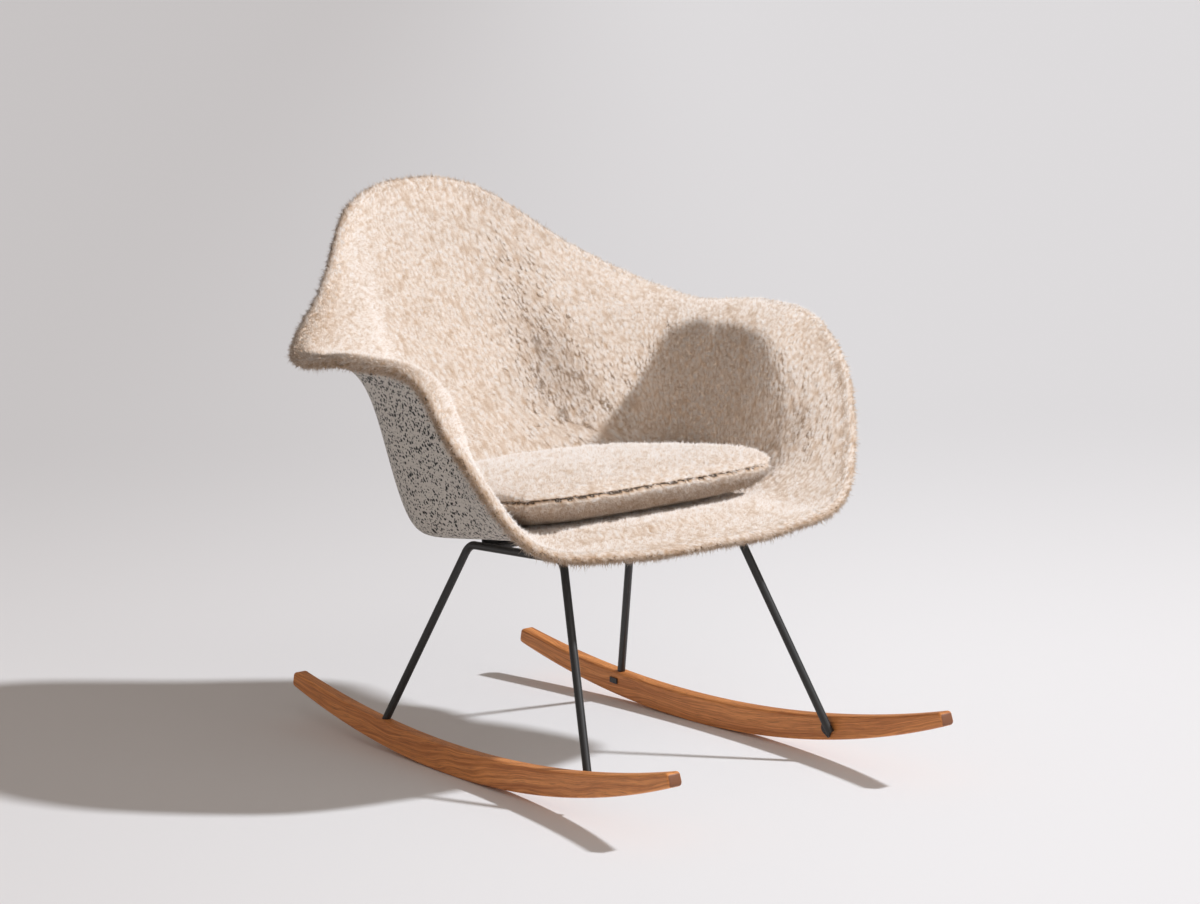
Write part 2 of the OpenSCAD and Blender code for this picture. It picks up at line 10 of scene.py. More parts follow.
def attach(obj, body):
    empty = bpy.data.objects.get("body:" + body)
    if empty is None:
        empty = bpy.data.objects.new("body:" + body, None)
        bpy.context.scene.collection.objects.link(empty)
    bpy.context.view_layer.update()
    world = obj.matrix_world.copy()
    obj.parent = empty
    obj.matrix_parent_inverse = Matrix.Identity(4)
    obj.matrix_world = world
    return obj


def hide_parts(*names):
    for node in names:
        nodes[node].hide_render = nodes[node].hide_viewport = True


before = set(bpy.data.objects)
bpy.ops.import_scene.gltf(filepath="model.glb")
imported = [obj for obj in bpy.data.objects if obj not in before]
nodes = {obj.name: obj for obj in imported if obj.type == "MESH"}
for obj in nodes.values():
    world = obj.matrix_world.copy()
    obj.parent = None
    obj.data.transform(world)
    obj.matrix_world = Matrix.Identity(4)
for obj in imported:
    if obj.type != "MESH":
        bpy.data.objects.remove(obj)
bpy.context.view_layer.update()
rowScale = 0.001

# the chair rolls forward on its running arcs until it balances, midY is then the row's middle
rest = {"lean": 3.2, "arcY": 10.0, "arcR": 1450.0, "midY": -42.5625}


def leanMatrix():
    turn = Matrix.Rotation(math.radians(rest["lean"]), 4, "X")
    high, shift = rest["arcR"] * rowScale, (rest["arcY"] - rest["midY"]) * rowScale
    toArc = Matrix.Translation((0, -rest["arcY"] * rowScale, -high))
    back = Matrix.Translation((0, shift, high))
    return back @ turn @ toArc


lean = leanMatrix()
leanTurn = np.array(lean.to_3x3())
leanShift = np.array(lean.translation)


def toRow(points):
    return np.asarray(points) * rowScale @ leanTurn.T + leanShift


def turnToRow(directions):
    return np.asarray(directions) @ leanTurn.T


# camera, found from the photograph's outlines on the upright chair
camera = {"azimuth": -36.3, "elevation": 12.9, "place": (-2.862, -4.0126, 1.4894),
          "focalPixels": 4130.0, "imageWidth": 1200.0, "sensor": 36.0, "farthest": 200.0}


def addCamera():
    az, el = math.radians(camera["azimuth"]), math.radians(camera["elevation"])
    right = Vector((math.cos(az), math.sin(az), 0))
    back = Vector((math.sin(az) * math.cos(el), -math.cos(az) * math.cos(el), math.sin(el)))
    up = back.cross(right)
    turn = Matrix((right, up, back)).transposed().to_4x4()
    data = bpy.data.cameras.new("camera")
    data.sensor_width = camera["sensor"]
    data.lens = camera["focalPixels"] / camera["imageWidth"] * camera["sensor"]
    data.clip_end = camera["farthest"]
    obj = bpy.data.objects.new("camera", data)
    bpy.context.collection.objects.link(obj)
    obj.matrix_world = lean @ Matrix.Translation(camera["place"]) @ turn
    bpy.context.scene.camera = obj
    return obj


shot = addCamera()
viewAlong = (shot.matrix_world.to_3x3() @ Vector((0, 0, -1))).to_2d().normalized()
viewRight = Vector((viewAlong.y, -viewAlong.x))
print("camera placed")


# small helpers for node materials
class Nodes:
    def __init__(self, name):
        self.material = bpy.data.materials.new(name)
        self.material.use_nodes = True
        self.tree = self.material.node_tree
        self.shader = self.tree.nodes["Principled BSDF"]
        self.count = 0

    def add(self, kind, inputs=None, **settings):
        node = self.tree.nodes.new("ShaderNode" + kind)
        node.location = (-220 * (self.count % 8) - 300, -260 * (self.count // 8))  # eight to a row
        self.count += 1
        for key, value in settings.items():
            setattr(node, key, value)
        for key, value in (inputs or {}).items():
            self.put(node.inputs[key], value)
        return node

    def put(self, socket, value):
        if isinstance(value, bpy.types.NodeSocket):
            self.tree.links.new(value, socket)
        else:
            socket.default_value = value

    def math(self, kind, *values):
        node = self.add("Math", operation=kind)
        for socket, value in zip(node.inputs, values):
            self.put(socket, value)
        return node.outputs[0]

    def attribute(self, name):
        return self.add("Attribute", attribute_name=name).outputs["Fac"]

    def noise(self, where, scale, detail=3.0, rough=0.5):
        return self.add("TexNoise", {"Vector": where, "Scale": scale, "Detail": detail,
                                     "Roughness": rough}).outputs["Fac"]

    def stretch(self, where, scale):
        return self.add("Mapping", {"Vector": where, "Scale": scale}).outputs[0]

    def ramp(self, value, stops, mode="LINEAR"):
        node = self.add("ValToRGB", {"Fac": value})
        band = node.color_ramp
        band.interpolation = mode
        while len(band.elements) < len(stops):
            band.elements.new(0.5)
        for element, (place, colour) in zip(band.elements, stops):
            element.position = place
            element.color = (*colour, 1)
        return node.outputs["Color"]

    def steps(self, value, stops):
        return self.ramp(value, [(place, (grey, grey, grey)) for place, grey in stops])

    def mix(self, share, one, two, kind="MIX"):
        node = self.add("Mix", data_type="RGBA", blend_type=kind)
        self.put(node.inputs["Factor"], share)
        self.put(node.inputs["A"], one if isinstance(one, bpy.types.NodeSocket) else (*one, 1))
        self.put(node.inputs["B"], two if isinstance(two, bpy.types.NodeSocket) else (*two, 1))
        return node.outputs["Result"]

    def bump(self, height, distance, strength):
        node = self.add("Bump", {"Height": height, "Distance": distance, "Strength": strength})
        self.put(self.shader.inputs["Normal"], node.outputs[0])

    def place(self):
        return self.add("TexCoord").outputs["Object"]

    def finish(self, **values):
        for key, value in values.items():
            self.put(self.shader.inputs[key.replace("_", " ")], value)
        return self.material


# the colour runs with pile height as painted shade: dark seam crease, tan roots, pale tips
cloth = {"seam": (0.09, 0.07, 0.055), "deep": (0.50, 0.34, 0.22), "mid": (0.78, 0.665, 0.565),
         "tip": (0.88, 0.835, 0.80), "fibre": 900.0, "fibreShare": 0.3, "fibreDepth": 0.0008,
         "patch": 14.0, "patchDim": 0.93}
clothStops = [(0.0, cloth["seam"]), (0.12, cloth["deep"]), (0.5, cloth["mid"]), (0.9, cloth["tip"])]


def clothMaterial():
    m = Nodes("curly cloth")
    where = m.place()
    fine = m.noise(where, cloth["fibre"], 4, 0.65)
    uneven = m.math("MULTIPLY", m.math("SUBTRACT", fine, 0.5), cloth["fibreShare"])
    colour = m.ramp(m.math("ADD", m.attribute("pileShadeTone"), uneven), clothStops)
    patch = m.steps(m.noise(where, cloth["patch"], 2), [(0.3, cloth["patchDim"]), (0.7, 1.0)])
    colour = m.mix(1.0, colour, patch, "MULTIPLY")
    m.bump(fine, cloth["fibreDepth"], 0.8)
    return m.finish(Base_Color=colour, Roughness=0.95, Sheen_Weight=0.15, Sheen_Roughness=0.5,
                    Sheen_Tint=(1, 0.95, 0.88, 1), Specular_IOR_Level=0.1)


# single fibres, with painted shade: tan at the root and pale at the tip
def fibreMaterial():
    m = Nodes("curly fibres")
    colour = m.ramp(m.attribute("pileShadeTone"), clothStops)
    return m.finish(Base_Color=colour, Roughness=0.9, Specular_IOR_Level=0.1)


# each kind of speck: cells to a metre, least and greatest size in its cell, colour
speckle = {"ground": (0.50, 0.46, 0.41), "pale": (0.64, 0.60, 0.55), "clouds": 160.0,
           "dark": (0.012, 0.012, 0.013), "grey": (0.16, 0.15, 0.14),
           "specks": [(470.0, 0.16, 0.30, "grey"), (255.0, 0.19, 0.36, "dark"),
                      (170.0, 0.24, 0.40, "dark")],
           "crowds": 34.0, "leftOut": 0.36, "uneven": 0.85, "ragged": 0.07,
           "grain": 700.0, "grainDepth": 0.0003}


def speckledMaterial():
    m = Nodes("speckled shell")
    where = m.place()
    amount = m.attribute("speckAmount")
    crowd = m.steps(m.noise(where, speckle["crowds"], 2), [(0.34, 0.0), (0.62, 0.5)])

    # one speck near the middle of each cell, left out where the cell's own number is low
    def specks(scale, least, most, colour, under):
        cells = m.add("TexVoronoi", {"Vector": where, "Scale": scale,
                                     "Randomness": speckle["uneven"]})
        pick = m.add("SeparateColor", {"Color": cells.outputs["Color"]}).outputs["Red"]
        kept = m.math("GREATER_THAN", m.math("ADD", pick, crowd), speckle["leftOut"])
        size = m.math("ADD", m.math("MULTIPLY", pick, most - least), least)
        wave = m.math("SUBTRACT", m.noise(where, scale * 3, 2), 0.5)
        edge = m.math("ADD", cells.outputs["Distance"], m.math("MULTIPLY", wave, speckle["ragged"]))
        apart = m.math("SUBTRACT", edge, size)
        inside = m.steps(m.math("ADD", apart, 0.5), [(0.48, 1.0), (0.53, 0.0)])
        share = m.math("MULTIPLY", m.math("MULTIPLY", inside, kept), amount)
        return m.mix(share, under, colour)

    clouds = m.noise(where, speckle["clouds"], 5, 0.7)
    colour = m.mix(clouds, speckle["ground"], speckle["pale"])
    for scale, least, most, shade in speckle["specks"]:
        colour = specks(scale, least, most, speckle[shade], colour)
    m.bump(m.noise(where, speckle["grain"], 3), speckle["grainDepth"], 0.35)
    return m.finish(Base_Color=colour, Roughness=0.62, Specular_IOR_Level=0.35)


# the grain follows most of the bend, and is far longer along the rocker than across it
oak = {"light": (0.82, 0.335, 0.105), "dark": (0.48, 0.158, 0.042), "pore": (0.22, 0.075, 0.024),
       "endGrain": (0.20, 0.075, 0.032), "follow": 0.80, "slant": 0.045, "tilt": 0.4,
       "sway": 0.05, "swayScale": (6, 3.4, 12), "rings": 300.0, "ringLength": 0.012,
       "streaks": 900.0, "pores": 2100.0, "grainLength": 0.016, "grainWidth": 0.5,
       "ringShare": 0.75, "streakShare": 0.45, "poreShare": 0.55, "poreDepth": 0.0002}


def oakMaterial():
    m = Nodes("oak")
    split = m.add("SeparateXYZ", {"Vector": m.place()})
    x, y, z = split.outputs[:3]
    along = m.math("SUBTRACT", y, (rest["arcY"] - rest["midY"]) * rowScale)
    rise = m.math("MULTIPLY", m.math("MULTIPLY", along, along),
                  oak["follow"] / (2 * rest["arcR"] * rowScale))
    depth = m.math("SUBTRACT", z, rise)
    where = m.add("CombineXYZ", {"X": x, "Y": along, "Z": depth}).outputs[0]
    sway = m.noise(m.stretch(where, oak["swayScale"]), 1.0, 3)
    across = m.math("ADD", m.math("ADD", depth, m.math("MULTIPLY", x, oak["tilt"])),
                    m.math("ADD", m.math("MULTIPLY", along, oak["slant"]),
                           m.math("MULTIPLY", sway, oak["sway"])))
    far = m.math("MULTIPLY", along, oak["ringLength"])
    rings = m.noise(m.add("CombineXYZ", {"X": across, "Y": far}).outputs[0], oak["rings"], 3, 0.55)
    grain = m.add("CombineXYZ", {"X": m.math("MULTIPLY", x, oak["grainWidth"]),
                                 "Y": m.math("MULTIPLY", along, oak["grainLength"]),
                                 "Z": across}).outputs[0]
    streak = m.noise(grain, oak["streaks"], 4, 0.6)
    pores = m.steps(m.noise(grain, oak["pores"], 2), [(0.34, 1.0), (0.44, 0.0)])
    tone = m.math("ADD", m.math("MULTIPLY", rings, oak["ringShare"]),
                  m.math("MULTIPLY", streak, oak["streakShare"]))
    colour = m.ramp(tone, [(0.48, oak["light"]), (0.72, oak["dark"])])
    colour = m.mix(m.math("MULTIPLY", pores, oak["poreShare"]), colour, oak["pore"])
    normal = m.add("SeparateXYZ", {"Vector": m.add("NewGeometry").outputs["Normal"]})
    ends = m.steps(m.math("ABSOLUTE", normal.outputs["Y"]), [(0.62, 0.0), (0.86, 1.0)])
    colour = m.mix(ends, colour, oak["endGrain"])
    m.bump(m.math("ADD", pores, m.math("MULTIPLY", streak, -0.4)), -oak["poreDepth"], 0.5)
    return m.finish(Base_Color=colour, Roughness=0.46, Specular_IOR_Level=0.4)


coat = {"darker": 0.8, "lighter": 1.25, "depth": 0.0002}


# an even finish with a faint mottle
def coatedMaterial(name, colour, rough, grain, metallic=0.0):
    m = Nodes(name)
    mottle = m.noise(m.place(), grain, 3)
    shade = m.mix(mottle, tuple(c * coat["darker"] for c in colour),
                  tuple(min(1, c * coat["lighter"]) for c in colour))
    m.bump(mottle, coat["depth"], 0.25)
    return m.finish(Base_Color=shade, Roughness=rough, Metallic=metallic)


clothMat = clothMaterial()
fibreMat = fibreMaterial()
speckledMat = speckledMaterial()
oakMat = oakMaterial()
blackMat = coatedMaterial("black powder coat", (0.018, 0.018, 0.018), 0.42, 1400.0)
rubberMat = coatedMaterial("black rubber", (0.02, 0.02, 0.02), 0.75, 500.0)
zincMat = coatedMaterial("zinc plate", (0.55, 0.55, 0.56), 0.35, 300.0, 1.0)
foamMat = coatedMaterial("foam", (0.75, 0.62, 0.38), 0.95, 900.0)
print("materials made")


# the moulded shell, the same curves as the solids follow
shell = {"width": 626.0, "depth": 637.0, "backY": 290.0,
         "backH": 662.0, "armH": 517.0, "frontH": 315.0, "armStation": 3,
         "out": [0, 0.31, 0.62, 0.96, 1, 0.96, 0.93, 0.74, 0.38, 0],
         "fore": [0, 0.025, 0.155, 0.305, 0.515, 0.71, 0.825, 0.93, 0.98, 1],
         "up": [1, 0.86, 0.32, 0.93, 1, 0.99, 0.65, 0.11, 0, 0],
         "lipWidth": [150, 140, 112, 90, 78, 66, 62, 55, 50, 50],
         "lipSlope": [82, 78, 48, 3, 4, 12, 35, 22, 0, -8],
         "wall": 4.0, "stack": 12.6, "roll": 7.0, "gap": 0.3}
pan = {"height": 287.0, "y": -30.0, "slope": 10.0, "side": 186.0, "front": 262.0, "back": 150.0,
       "sharpFront": 2.8, "sharpBack": 2.0, "flat": 0.8}
panMid = np.array([0, pan["y"], pan["height"]])
panSlope = math.radians(pan["slope"])
panTan = math.tan(panSlope)
panUp = np.array([0, math.sin(panSlope), math.cos(panSlope)])
table = {"columns": 720, "rows": 300, "samples": 400}


def rimStations():
    rows = []
    for i, share in enumerate(shell["up"]):
        behind = i < shell["armStation"]
        low, high = (shell["armH"], shell["backH"]) if behind else (shell["frontH"], shell["armH"])
        rows.append([shell["out"][i] * shell["width"] / 2,
                     shell["backY"] - shell["fore"][i] * shell["depth"],
                     low + share * (high - low), shell["lipWidth"][i], shell["lipSlope"][i]])
    mirrored = [[-r[0], *r[1:]] for r in rows[-2:0:-1]]
    return np.array(rows + mirrored, float)


def closedSpline(points, t):
    n, first = len(points), np.floor(t).astype(int)
    u = (t - first)[:, None]
    a, b, c, d = (points[(first + k) % n] for k in (-1, 0, 1, 2))
    return 0.5 * (2 * b + (c - a) * u + (2 * a - 5 * b + 4 * c - d) * u**2
                  + (3 * b - a - 3 * c + d) * u**3)


def oval(away, side, front, back, sharpFront, sharpBack):
    far = np.where(away[:, 1] < 0, front, back)
    sharp = np.where(away[:, 1] < 0, sharpFront, sharpBack)
    x, y = np.abs(away[:, 0]) / side, np.abs(away[:, 1]) / far
    return (x ** sharp + y ** sharp) ** (-1 / sharp)


def panPoint(away, r):
    return panMid + away * r[:, None] + np.array([0, 0, -panTan]) * (away[:, 1] * r)[:, None]


def levelAway(points):
    away = points[:, :3] - panMid
    away[:, 2] = 0
    return away / np.linalg.norm(away, axis=1, keepdims=True)


# lines from the middle of the pan out to the rim, as cubic B-splines
def meridians():
    stations = rimStations()
    rim = closedSpline(stations, np.arange(table["columns"]) / table["columns"] * len(stations))
    away = levelAway(rim)
    slope = np.radians(rim[:, 4])[:, None]
    out = away * np.cos(slope) + np.array([0, 0, 1]) * np.sin(slope)
    reach = oval(away, pan["side"], pan["front"], pan["back"], pan["sharpFront"], pan["sharpBack"])
    foot, lip = panPoint(away, reach), rim[:, :3] - out * rim[:, 3:4]
    flat = panPoint(away, reach * pan["flat"])
    c = np.stack([np.tile(panMid, (len(rim), 1)), flat, foot, (foot + lip) / 2, lip,
                  rim[:, :3] - out * shell["roll"]], 1)
    spans = c.shape[1] - 1
    c = np.concatenate([2 * c[:, :1] - c[:, 1:2], c, 2 * c[:, -1:] - c[:, -2:-1]], 1)
    s = np.linspace(0, spans, table["samples"])
    i = np.minimum(s.astype(int), spans - 1)
    u = (s - i)[None, :, None]
    line = ((1 - u)**3 * c[:, i] + (3 * u**3 - 6 * u**2 + 4) * c[:, i + 1]
            + (3 * u**2 - 3 * u**3 + 3 * u + 1) * c[:, i + 2] + u**3 * c[:, i + 3]) / 6
    return line, away


# rows of the table lie at equal steps along each meridian
def surfaceTable():
    line, away = meridians()
    run = np.concatenate([np.zeros((len(line), 1)),
                          np.cumsum(np.linalg.norm(np.diff(line, axis=1), axis=2), 1)], 1)
    share = np.linspace(0, 1, table["rows"])
    mid = np.empty((len(line), table["rows"], 3))
    for k in range(len(line)):
        for axis in range(3):
            mid[k, :, axis] = np.interp(share * run[k, -1], run[k], line[k, :, axis])
    around = np.roll(mid, -1, 0) - np.roll(mid, 1, 0)
    onward = np.gradient(mid, axis=1)
    normal = np.cross(around, onward)
    normal[:, 0] = panUp
    normal /= np.linalg.norm(normal, axis=2, keepdims=True)
    onward /= np.linalg.norm(onward, axis=2, keepdims=True)
    return mid, normal, onward, away, run[:, -1]


midTable, normalTable, onwardTable, awayTable, lengthTable = surfaceTable()
# heights of the layers over the middle surface of the stack
layer = {"shellLow": -shell["stack"] / 2, "shellHigh": -shell["stack"] / 2 + shell["wall"],
         "foamLow": -shell["stack"] / 2 + shell["wall"] + shell["gap"], "foam": 3.5,
         "coverHigh": shell["stack"] / 2}


# reads one of the tables at turns (0 to 1 round the rim) and shares (0 pan to 1 rim)
def readTable(values, turn, share):
    n, rows = values.shape[:2]
    a, b = turn * n, share * (rows - 1)
    i, j = np.floor(a).astype(int), np.minimum(np.floor(b).astype(int), rows - 2)
    u, v = (a - i)[:, None], (b - j)[:, None]
    here, after = values[i % n], values[(i + 1) % n]
    rowOf = np.arange(len(i))
    return ((1 - u) * ((1 - v) * here[rowOf, j] + v * here[rowOf, j + 1])
            + u * ((1 - v) * after[rowOf, j] + v * after[rowOf, j + 1]))


def unit(v):
    return v / np.linalg.norm(v, axis=-1, keepdims=True)


def smoothstep(x):
    x = np.clip(x, 0, 1)
    return x * x * (3 - 2 * x)


# 0 before the start, 1 once the width is passed
def ease(value, start, width):
    return smoothstep((value - start) / width)


def noiseAt(points, size=1.0):
    return np.array([noise.noise(Vector(p) / size) for p in points.tolist()])


# rings of points with 1, 2 or a half as many points as the ring before
def joinRings(counts, closeFirst, closeLast):
    starts = np.concatenate([[0], np.cumsum(counts)])
    faces = []
    for ring in range(len(counts) - 1):
        n, m = counts[ring], counts[ring + 1]
        a, b = starts[ring], starts[ring + 1]
        k = np.arange(min(n, m))
        after = (k + 1) % min(n, m)
        if n == m:
            faces += np.stack([a + k, b + k, b + after, a + after], 1).tolist()
        elif m == 2 * n:
            faces += np.stack([a + k, b + 2 * k, b + 2 * k + 1], 1).tolist()
            faces += np.stack([a + k, b + 2 * k + 1, b + 2 * after, a + after], 1).tolist()
        else:
            faces += np.stack([a + 2 * k, b + k, a + 2 * k + 1], 1).tolist()
            faces += np.stack([a + 2 * k + 1, b + k, b + after, a + 2 * after], 1).tolist()
    if closeFirst:
        k = np.arange(counts[0])
        faces += np.stack([np.full(counts[0], starts[-1]), k, (k + 1) % counts[0]], 1).tolist()
    if closeLast:
        n, a = counts[-1], starts[-2]
        k, centre = np.arange(n), starts[-1] + (1 if closeFirst else 0)
        faces += np.stack([np.full(n, centre), a + (k + 1) % n, a + k], 1).tolist()
    return faces


def makePiece(name, points, faces, material, body="chair"):
    mesh = bpy.data.meshes.new(name)
    mesh.from_pydata(toRow(points).tolist(), [], faces)
    mesh.materials.append(material)
    mesh.polygons.foreach_set("use_smooth", [True] * len(mesh.polygons))
    mesh.update()
    obj = bpy.data.objects.new(name, mesh)
    bpy.context.collection.objects.link(obj)
    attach(obj, body)
    return obj


def setAttribute(obj, name, values):
    data = obj.data.attributes.new(name, "FLOAT", "POINT")
    data.data.foreach_set("value", np.asarray(values, np.float32))


def setPileShadeTone(obj, values):
    setAttribute(obj, "pileShadeTone", values)


# curly pile: fibres gather into locks, longer along the nap than across, tan gaps painted as shade
pile = {"across": 6.0, "along": 7.2, "lockShare": 0.8, "lockTone": 0.06, "lockRound": 1.5,
        "strand": 2.4, "strandGain": 0.9, "puffShare": 0.65, "swell": 17.0,
        "depth": 2.1, "swellDepth": 1.9, "sunk": 1.3, "roundR": 300.0, "slant": 0.45,
        "edgeTilt": 1.2, "edgeShade": 0.55, "middleTones": [0.5, 0.3],
        "parting": (12.0, 12.0, 21.0), "partingWidth": 0.075, "partingDepth": 0.75,
        "partingPatch": 55.0, "partingMore": 1.6}

# the fibres' number, form, shading and tone; the tone paints shade at the roots and between locks
fuzz = {"coverPieces": 8, "cushionPieces": 3, "count": 48000, "seed": 7,
        "length": (2.4, 4.6), "loose": 0.14, "looseLength": 1.6, "puffLength": (0.65, 0.6),
        "paintedShadeLength": 0.7, "base": 0.40, "rays": (0, 2.094, 4.189), "sunk": 0.7,
        "stand": 0.80, "lay": 0.28, "flow": 5.0, "sway": 0.60, "stray": 0.62,
        "gather": 0.35, "gatherRange": (0.4, 1.2), "paintedShadeGather": 0.5,
        "soft": 0.72, "front": (-0.1, -0.78, 0.62), "frontShare": 0.85, "middleTurned": 0.3,
        "litFrom": (0.47, -0.53, 0.71), "litWidth": 0.3, "darkFrom": 0.35, "darkWidth": 0.7,
        "root": 0.24, "tip": 0.86, "darkest": 0.13, "toneSpread": 0.09,
        "puffTone": 0.78, "puffMiddle": 0.47, "paintedShadeTone": 0.55}
litFrom = np.array(fuzz["litFrom"])


def trianglesOf(faces, most):
    faces = [face for face in faces if max(face) < most]
    threes = [face for face in faces if len(face) == 3]
    fours = np.array([face for face in faces if len(face) == 4])
    return np.concatenate([np.array(threes).reshape(-1, 3), fours[:, [0, 1, 2]],
                           fours[:, [0, 2, 3]]])


# what the fibres need of a skin: its triangles, their chances, and the locks that share it out
def prepareSkin(skin, seed):
    skin["turned"] = skin["turned"] * ease(skin["normals"] @ litFrom, 0, fuzz["litWidth"])
    skin["corners"] = trianglesOf(skin["faces"], len(skin["points"]))
    a, b, c = (skin["points"][skin["corners"][:, k]] for k in range(3))
    area = np.linalg.norm(np.cross(b - a, c - a), axis=1) * skin["weights"][skin["corners"]].mean(1)
    skin["chances"] = area / area.sum()
    skin["rng"] = np.random.default_rng(seed)
    count = int(area.sum() / 2 / (pile["across"] * pile["along"] * pile["lockShare"]))
    spot, _, way, coord, *_ = spreadRoots(skin, count)
    tree = kdtree.KDTree(count)
    for i, place in enumerate(coord.tolist()):
        tree.insert(place, i)
    tree.balance()
    tips = spot + way * skin["rng"].uniform(*fuzz["length"], (count, 1))
    tones = skin["rng"].normal(0, pile["lockTone"], count)
    skin["locks"] = {"tree": tree, "tips": tips, "tone": tones}


# roots spread over a skin, with the way that the pile lies at each
def spreadRoots(skin, count):
    rng = skin["rng"]
    chosen = skin["corners"][rng.choice(len(skin["corners"]), count, p=skin["chances"])]
    parts = rng.dirichlet((1, 1, 1), count)

    def at(values):
        values = values if values.ndim == 2 else values[:, None]
        return (values[chosen] * parts[:, :, None]).sum(1)

    keys = ("points", "normals", "naps", "coords", "paintedShades", "turned")
    spot, normal, nap, coord, paintedShade, turned = (at(skin[key]) for key in keys)
    flow = np.array([noise.noise_vector(Vector(p) / fuzz["flow"]) for p in spot.tolist()])
    level = flow - normal * (flow * normal).sum(1, keepdims=True)
    way = unit(normal * fuzz["stand"] + nap * fuzz["lay"] + level * fuzz["sway"])
    return spot, unit(normal), way, coord, paintedShade, turned


# wool throws light to all sides: where it faces the key light, its shading is turned forward
def softened(normals, turned):
    turned = turned.reshape(-1, 1)
    return unit(normals * (1 - turned) + np.array(fuzz["front"]) * turned)


# painted shade mask: 1 where a direction turns away from the key light, 0 where it faces it
def awayFromKey(directions):
    return smoothstep((fuzz["darkFrom"] - directions @ litFrom) / fuzz["darkWidth"])


# the last two points of a closed piece are the middles of its two sides
def softenCloth(obj, turned):
    own = np.empty(len(obj.data.vertices) * 3)
    obj.data.vertices.foreach_get("normal", own)
    turned = np.append(turned, [fuzz["middleTurned"]] * 2)
    soft = softened(own.reshape(-1, 3) @ leanTurn, turned)
    obj.data.normals_split_custom_set_from_vertices(turnToRow(soft).tolist())


# lines where the pile parts, longer along the nap, in some places only
def partings(coords):
    lines = noiseAt(coords / pile["parting"])
    patches = noiseAt(coords / pile["partingPatch"] + 9)
    share = smoothstep(0.5 + pile["partingMore"] * patches)
    return np.exp(-(lines / pile["partingWidth"]) ** 2) * share


# the nearest lock, and how near its middle: 1 there, 0 on the line between two locks
def nearLocks(skin, coords):
    found = [skin["locks"]["tree"].find_n(q, 2) for q in coords.tolist()]
    ratio = np.array([near[2] / (other[2] + 1e-6) for near, other in found])
    puff = (1 - ratio ** pile["lockRound"]) * (1 - pile["partingDepth"] * partings(coords))
    return np.array([near[1] for near, _ in found]), puff


# how far the pile rises (0 to 1), and the slow swells of the padding under it
def pileHeights(skin):
    _, puff = nearLocks(skin, skin["coords"])
    strands = 0.5 + pile["strandGain"] * noiseAt(skin["coords"], pile["strand"])
    share = pile["puffShare"]
    heights = np.clip(share * puff + (1 - share) * strands, 0, 1)
    return heights, noiseAt(skin["points"], pile["swell"])


# pairs are the share of the way from pan to rim where a change begins, and its width
cover = {"spacing": 3.5, "columns": [48, 96, 192, 384, 768], "start": 0.03, "rowShare": 0.93,
         "rollSteps": 14, "rollRun": 8, "underRows": 20, "underTo": 0.04, "underFine": 0.97,
         "underRun": 50, "quietTo": 0.28, "rollLift": 1.15, "sparse": 0.25, "thin": (0.18, 0.12),
         "thick": 1.25, "edge": (0.94, 0.06), "edgeTurned": 0.85, "outward": (0.82, 0.15),
         "shade": (0.87, 0.13), "rollPaintedShade": 0.62, "tone": (0.12, 0.75), "paintedShadeTone": 0.3}


def columnsFor(perimeter):
    for n in cover["columns"]:
        if perimeter / n <= cover["spacing"]:
            return n
    return cover["columns"][-1]


def stepCounts(wanted):
    counts = [wanted[0]]
    for n in wanted[1:]:
        last = counts[-1]
        counts.append(last * 2 if n > last else last // 2 if n < last else last)
    return counts


# the pile lies down the walls and a little to one side, and outward over the rim
def napOf(normal, outward):
    down = np.array([0, 0, -1.0]) + 0 * normal
    down -= normal * (down * normal).sum(1, keepdims=True)
    return down + pile["slant"] * np.cross(normal, down) + outward


def perimeterAt(share):
    ring = readTable(midTable, np.arange(128) / 128, np.full(128, share))
    return np.linalg.norm(ring - np.roll(ring, 1, 0), axis=1).sum()


# rows up the inner face, round the roll, and back down behind the foam
def coverStops():
    rows = int(lengthTable.max() / cover["spacing"] * cover["rowShare"])
    stops = [(share, None) for share in np.linspace(cover["start"], 1, rows)]
    stops += [(1.0, math.radians(a)) for a in np.linspace(90, -90, cover["rollSteps"] + 1)[1:]]
    under = np.linspace(1, cover["underTo"], cover["underRows"])
    return stops + [(share, "under") for share in under]
